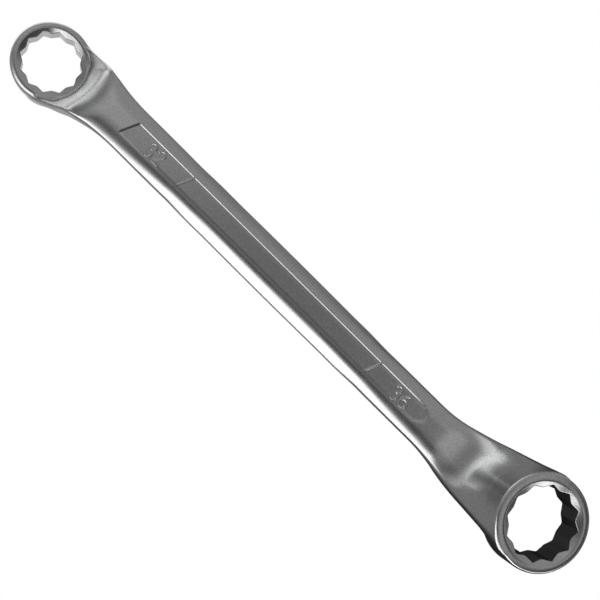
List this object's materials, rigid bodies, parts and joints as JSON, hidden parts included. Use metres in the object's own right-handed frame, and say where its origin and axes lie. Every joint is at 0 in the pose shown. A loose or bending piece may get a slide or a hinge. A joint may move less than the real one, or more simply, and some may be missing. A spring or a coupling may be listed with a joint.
{
  "type": "ring spanner",
  "caption": "Double-ended ring spanner for large nuts, with a deep-offset ring at each end, one below and one above the flat shank.",
  "frame": {"origin": "centre of the box round the whole spanner, near the middle of the shank", "axes": "+X along the shank from the 32 mm ring to the 36 mm ring, +Y across the shank, +Z out of the shank face that the 36 mm ring rises from"},
  "size_m": [0.428, 0.0536, 0.1004],
  "materials": {
    "satin_chrome": "satin chrome plate over forged steel, matt in the panel recess"
  },
  "bodies": {
    "root": {"small_ring": "satin_chrome", "small_neck": "satin_chrome", "shank": "satin_chrome", "large_neck": "satin_chrome", "large_ring": "satin_chrome"}
  },
  "joints": []
}
